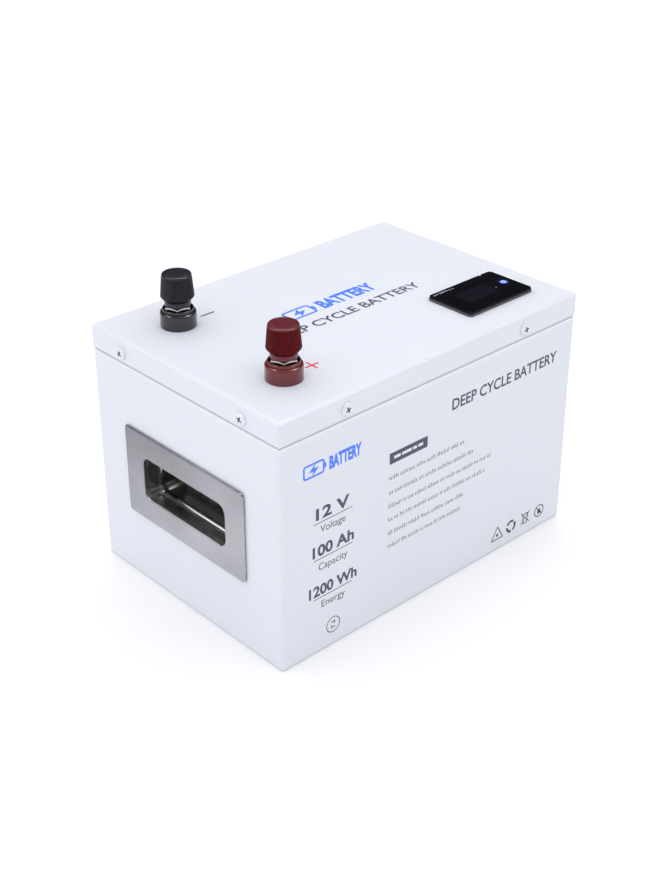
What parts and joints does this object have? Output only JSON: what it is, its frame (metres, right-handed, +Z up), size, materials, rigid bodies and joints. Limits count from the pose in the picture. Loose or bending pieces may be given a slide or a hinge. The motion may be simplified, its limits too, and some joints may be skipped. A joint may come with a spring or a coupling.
{
  "type": "deep cycle battery",
  "caption": "Boxed deep cycle battery in a white steel case, with recessed end handles, red and black binding posts with knurled caps, and a flat display with a power button.",
  "frame": {"origin": "centre of the case underside, on the surface that the battery stands on", "axes": "+Z up, +X along the case towards the display end, the printed long side faces -Y, and the binding posts stand at the -X end"},
  "size_m": [0.3044, 0.2114, 0.2386],
  "materials": {
    "case_paint": "satin",
    "brushed_stainless": "satin",
    "polished_stainless": "polished",
    "gasket_rubber": "matte",
    "zinc_steel": "satin",
    "nickel_brass": "polished",
    "brass": "satin",
    "red_gloss": "gloss",
    "black_gloss": "gloss",
    "red_phenolic": "satin",
    "black_phenolic": "satin",
    "display_plastic": "satin",
    "display_window": "gloss",
    "lcd_face": "gloss",
    "led_lens": "gloss",
    "button_white": "gloss",
    "circuit_board": "satin",
    "chip_black": "matte",
    "aluminium": "satin",
    "cell_wrap": "satin",
    "insulation_card": "matte",
    "foam": "matte",
    "copper": "satin",
    "tinned_copper": "satin",
    "red_cable": "satin",
    "black_cable": "satin",
    "white_lead": "satin"
  },
  "bodies": {
    "root": {"case": "case_paint", "lid": "case_paint", "lid_screws": "case_paint", "clinch_nuts": "zinc_steel", "left_handle_plate": "brushed_stainless", "right_handle_plate": "brushed_stainless", "left_handle_cup": "polished_stainless", "right_handle_cup": "polished_stainless", "left_handle_gasket": "gasket_rubber", "right_handle_gasket": "gasket_rubber", "handle_nuts": "zinc_steel", "positive_base": "red_gloss", "negative_base": "black_gloss", "positive_stud": "nickel_brass", "negative_stud": "nickel_brass", "positive_hex_nut": "nickel_brass", "negative_hex_nut": "nickel_brass", "stud_insulators": "black_phenolic", "stud_washers": "zinc_steel", "stud_lock_nuts": "zinc_steel", "display_housing": "display_plastic", "display_glass": "display_window", "display_lcd": "lcd_face", "display_board": "circuit_board", "display_led": "led_lens", "button_switch": "display_plastic", "display_screws": "zinc_steel", "display_cable": "black_cable", "cell_1": "cell_wrap", "cell_2": "cell_wrap", "cell_3": "cell_wrap", "cell_4": "cell_wrap", "cell_poles": "aluminium", "cell_sheets": "insulation_card", "left_end_plate": "aluminium", "right_end_plate": "aluminium", "pack_straps": "zinc_steel", "busbars": "copper", "busbar_nuts": "zinc_steel", "base_pad": "foam", "side_pads": "foam", "bms_tray": "black_phenolic", "bms_board": "circuit_board", "bms_heatsink": "aluminium", "bms_mosfets": "chip_black", "bms_screws": "zinc_steel", "positive_cable": "red_cable", "negative_cable": "black_cable", "bms_cable": "black_cable", "cable_lugs": "tinned_copper", "balance_leads": "white_lead", "temp_sensor": "black_cable"},
    "positive_washer": {"positive_washer": "nickel_brass"},
    "positive_cap": {"positive_cap": "red_phenolic", "positive_cap_insert": "brass"},
    "negative_washer": {"negative_washer": "nickel_brass"},
    "negative_cap": {"negative_cap": "black_phenolic", "negative_cap_insert": "brass"},
    "power_button": {"power_button": "button_white"}
  },
  "joints": [
    {"name": "positive_cap_lift", "type": "slide", "parent": "root", "child": "positive_washer", "axis": [0, 0, 1], "range_m": [0, 0.012]},
    {"name": "positive_cap_turn", "type": "hinge", "parent": "positive_washer", "child": "positive_cap", "pos_m": [-0.1044, -0.0576, 0.223], "axis": [0, 0, 1], "range_deg": [0, 2880]},
    {"name": "negative_cap_lift", "type": "slide", "parent": "root", "child": "negative_washer", "axis": [0, 0, 1], "range_m": [0, 0.012]},
    {"name": "negative_cap_turn", "type": "hinge", "parent": "negative_washer", "child": "negative_cap", "pos_m": [-0.1044, 0.0576, 0.223], "axis": [0, 0, 1], "range_deg": [0, 2880]},
    {"name": "power_button_press", "type": "slide", "parent": "root", "child": "power_button", "axis": [0, 0, -1], "range_m": [0, 0.0005], "stiffness_N_per_m": 1500, "springref_m": -0.001}
  ],
  "couplings": [
    {"joint": "positive_cap_turn", "follows": "positive_cap_lift", "rad_per_m": 4188.8},
    {"joint": "negative_cap_turn", "follows": "negative_cap_lift", "rad_per_m": 4188.8}
  ]
}
